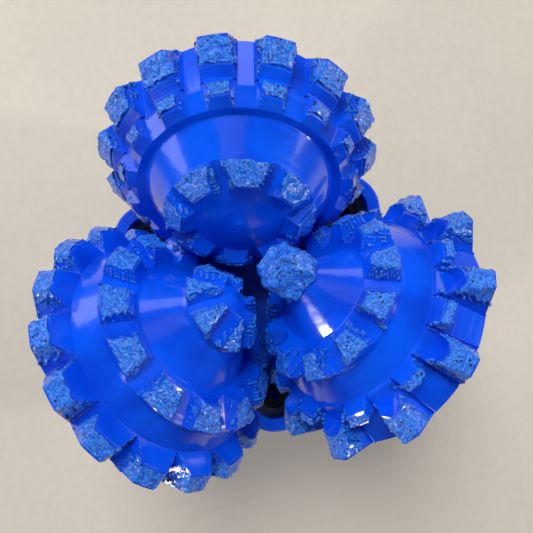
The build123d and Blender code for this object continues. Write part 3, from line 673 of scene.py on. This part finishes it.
def makeThreadTree():
    # a strip wound up the tapered pin, raised to a truncated V across its width
    tree, given, result = newGroup(
        "woundThread",
        [("Geometry", "NodeSocketGeometry", None), ("Turns", "NodeSocketFloat", 17.0),
         ("Pitch", "NodeSocketFloat", 0.00635), ("Start", "NodeSocketFloat", 0.0035),
         ("Root At Start", "NodeSocketFloat", 0.062), ("Root At End", "NodeSocketFloat", 0.071),
         ("Height", "NodeSocketFloat", 0.0037), ("Flat", "NodeSocketFloat", 0.3),
         ("Sunk", "NodeSocketFloat", 0.0005), ("Run Out Turns", "NodeSocketFloat", 1.2),
         ("Steps Along", "NodeSocketInt", 1200), ("Steps Across", "NodeSocketInt", 9),
         ("Finish", "NodeSocketMaterial", None)],
        [("Geometry", "NodeSocketGeometry")], "GeometryNodeTree")
    strip = addNode(tree, "GeometryNodeMeshGrid", {
        "Size X": 1.0, "Size Y": 1.0,
        "Vertices X": given["Steps Along"], "Vertices Y": given["Steps Across"]})
    spot = addNode(tree, "ShaderNodeSeparateXYZ", {
        "Vector": tree.nodes.new("GeometryNodeInputPosition").outputs[0]})
    along = doMath(tree, "ADD", spot.outputs["X"], 0.5)
    across = spot.outputs["Y"]
    turn = doMath(tree, "MULTIPLY", along, given["Turns"])
    angle = doMath(tree, "MULTIPLY", turn, 2 * math.pi)
    left = doMath(tree, "SUBTRACT", given["Turns"], turn)
    fadeIn = doMath(tree, "DIVIDE", turn, given["Run Out Turns"], clamp=True)
    fadeOut = doMath(tree, "DIVIDE", left, given["Run Out Turns"], clamp=True)
    fade = doMath(tree, "MULTIPLY", fadeIn, fadeOut)
    outward = doMath(tree, "SUBTRACT", 1.0, doMath(tree, "MULTIPLY", doMath(tree, "ABSOLUTE", across), 2.0))
    ridge = doMath(tree, "DIVIDE", outward, doMath(tree, "SUBTRACT", 1.0, given["Flat"]), clamp=True)
    fullHeight = doMath(tree, "ADD", given["Height"], given["Sunk"])
    raised = doMath(tree, "MULTIPLY", doMath(tree, "MULTIPLY", ridge, fade), fullHeight)
    lift = doMath(tree, "SUBTRACT", raised, given["Sunk"])
    root = doMath(tree, "ADD", given["Root At Start"], doMath(
        tree, "MULTIPLY", along, doMath(tree, "SUBTRACT", given["Root At End"], given["Root At Start"])))
    radius = doMath(tree, "ADD", root, lift)
    level = doMath(tree, "ADD", given["Start"], doMath(
        tree, "MULTIPLY", doMath(tree, "ADD", turn, across), given["Pitch"]))
    place = addNode(tree, "ShaderNodeCombineXYZ", {
        "X": doMath(tree, "MULTIPLY", radius, doMath(tree, "COSINE", angle)),
        "Y": doMath(tree, "MULTIPLY", radius, doMath(tree, "SINE", angle)), "Z": level})
    wound = addNode(tree, "GeometryNodeSetPosition", {
        "Geometry": strip.outputs[0], "Position": place.outputs[0]})
    finishTree(tree, wound.outputs[0], given, result, smooth=False)
    return tree


def emptyPiece(name):
    piece = bpy.data.objects.new(name, bpy.data.meshes.new(name))
    bpy.context.scene.collection.objects.link(piece)
    return piece


def makeThread(settings):
    turns = (settings["end"] - settings["start"]) / settings["pitch"]
    piece = emptyPiece("pin_thread")
    wind = piece.modifiers.new("wind", "NODES")
    wind.node_group = makeThreadTree()
    setInputs(wind, {
        "Turns": turns, "Pitch": settings["pitch"], "Start": settings["start"],
        "Root At Start": settings["rootAtStart"], "Root At End": settings["rootAtEnd"],
        "Height": settings["height"], "Flat": settings["flat"], "Sunk": settings["sunk"],
        "Run Out Turns": settings["runOutTurns"], "Steps Along": int(turns * settings["stepsPerTurn"]),
        "Steps Across": settings["acrossSteps"] + 1, "Finish": barePinMaterial("cutThread")})
    settle(piece)
    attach(piece, "frame")
    return len(piece.data.polygons)


print("pin thread", makeThread(thread), "faces")

weld = {
    "voxel": 0.6 * mm,
    "ripple": 2.2 * mm, "rippleHeight": 0.55 * mm, "unevenness": 1.5,
    "lumpScale": 180.0, "lumpHeight": 0.5 * mm, "inset": 0.1 * mm,
}


def makeWeldTree():
    # the ripples that a weld leaves as it is laid upwards
    tree, given, result = newGroup(
        "weldRipple",
        [("Geometry", "NodeSocketGeometry", None), ("Ripple", "NodeSocketFloat", 0.002),
         ("Ripple Height", "NodeSocketFloat", 0.0005), ("Lump Height", "NodeSocketFloat", 0.0005),
         ("Inset", "NodeSocketFloat", 0.0001), ("Finish", "NodeSocketMaterial", None)],
        [("Geometry", "NodeSocketGeometry")], "GeometryNodeTree")
    place = tree.nodes.new("GeometryNodeInputPosition").outputs[0]
    lump = addNode(tree, "ShaderNodeTexNoise", {"Vector": place, "Scale": weld["lumpScale"], "Detail": 2.0})
    swing = doMath(tree, "SUBTRACT", lump.outputs[0], 0.5)
    level = addNode(tree, "ShaderNodeSeparateXYZ", {"Vector": place}).outputs["Z"]
    phase = doMath(tree, "ADD", doMath(tree, "DIVIDE", level, given["Ripple"]),
                   doMath(tree, "MULTIPLY", swing, weld["unevenness"]))
    wave = doMath(tree, "ABSOLUTE", doMath(tree, "SINE", doMath(tree, "MULTIPLY", phase, math.pi)))
    relief = doMath(tree, "ADD", doMath(tree, "MULTIPLY", wave, given["Ripple Height"]),
                    doMath(tree, "MULTIPLY", swing, given["Lump Height"]))
    rise = doMath(tree, "SUBTRACT", relief, given["Inset"])
    finishTree(tree, pushOut(tree, given["Geometry"], rise), given, result)
    return tree


def makeWelds(settings):
    piece = mergedCopy("weld_seams", "rippled_welds")
    voxelRemesh(piece, settings["voxel"])
    ripple = piece.modifiers.new("ripple", "NODES")
    ripple.node_group = makeWeldTree()
    setInputs(ripple, {
        "Ripple": settings["ripple"], "Ripple Height": settings["rippleHeight"],
        "Lump Height": settings["lumpHeight"], "Inset": settings["inset"], "Finish": legEnamel})
    settle(piece)
    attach(piece, frame["nodes"]["weld_seams"]["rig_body"])
    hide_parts("weld_seams")
    return len(piece.data.polygons)


print("weld seams", makeWelds(weld), "faces")
